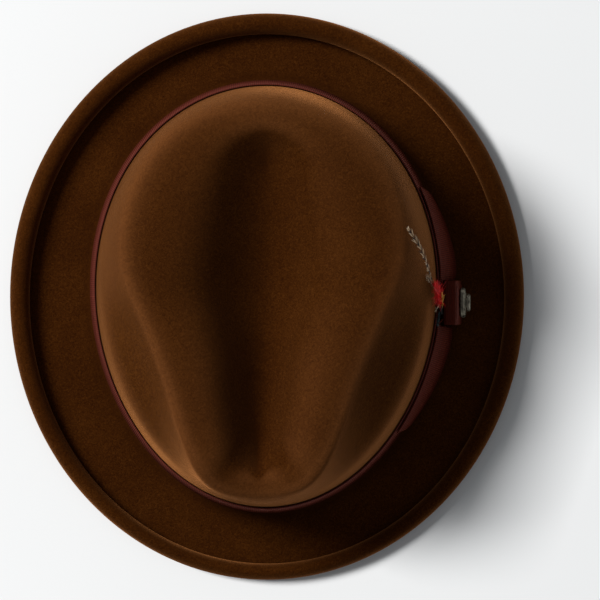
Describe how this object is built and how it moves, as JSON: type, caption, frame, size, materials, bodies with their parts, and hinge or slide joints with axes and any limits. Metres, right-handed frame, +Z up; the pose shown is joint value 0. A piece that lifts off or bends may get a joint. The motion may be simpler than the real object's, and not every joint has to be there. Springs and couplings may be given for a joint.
{
  "type": "fedora hat",
  "caption": "Teardrop-crown felt fedora with a rolled brim edge, ribbon band, side bow, tucked feather bunch, round pin, sweatband and lining.",
  "frame": {"origin": "on the plane the brim rests on, under the middle of the brim", "axes": "+Z up through the crown, front of the hat towards -Y, wearer's left (the bow's side) towards +X"},
  "size_m": [0.25, 0.2754, 0.1082],
  "materials": {
    "felt": "wool felt, brushed, matt with a soft nap",
    "band_ribbon": "grosgrain ribbon, fine upright ribs, dull sheen",
    "bow_ribbon": "grosgrain ribbon, fine ribs, dull sheen",
    "tab_card": "bound quill tab, dull",
    "barred_feather": "cream feather with dark bars, soft",
    "red_feather": "dyed red fluff",
    "gold_feather": "dyed gold feather",
    "dark_feather": "dark feather with a green-blue sheen",
    "pewter": "antiqued pewter, darker in the recesses",
    "pin_steel": "plain steel",
    "clutch_brass": "satin brass",
    "sweat_leather": "thin smooth leather, slightly worn",
    "reed_tape": "woven tape over a plastic reed",
    "sweat_bow_ribbon": "narrow ribbon",
    "satin": "lining satin, soft sheen",
    "piping": "satin piping",
    "label_cloth": "woven label, blank"
  },
  "bodies": {
    "hat": {"felt_body": "felt", "hat_band": "band_ribbon", "bow_rear_loop": "bow_ribbon", "bow_front_loop": "bow_ribbon", "bow_knot": "bow_ribbon", "pin_clutch": "clutch_brass", "sweatband": "sweat_leather", "sweatband_reed": "reed_tape", "sweatband_bow": "sweat_bow_ribbon", "lining_wall": "satin", "lining_tip": "satin", "lining_piping": "piping", "size_label": "label_cloth"},
    "feather_bunch": {"feather_tab": "tab_card", "feather_hackle": "barred_feather", "feather_side": "barred_feather", "feather_red": "red_feather", "feather_gold": "gold_feather", "feather_dark": "dark_feather"},
    "pin": {"pin_plate": "pewter", "pin_boss": "pewter", "pin_post": "pin_steel"}
  },
  "joints": [
    {"name": "feather_pull", "type": "slide", "parent": "hat", "child": "feather_bunch", "axis": [-0.1142, 0, 0.9935], "range_m": [0, 0.018]},
    {"name": "pin_turn", "type": "hinge", "parent": "hat", "child": "pin", "pos_m": [0.09274, -0.003, 0.02541], "axis": [0.9935, 0, 0.1142], "continuous": true}
  ]
}
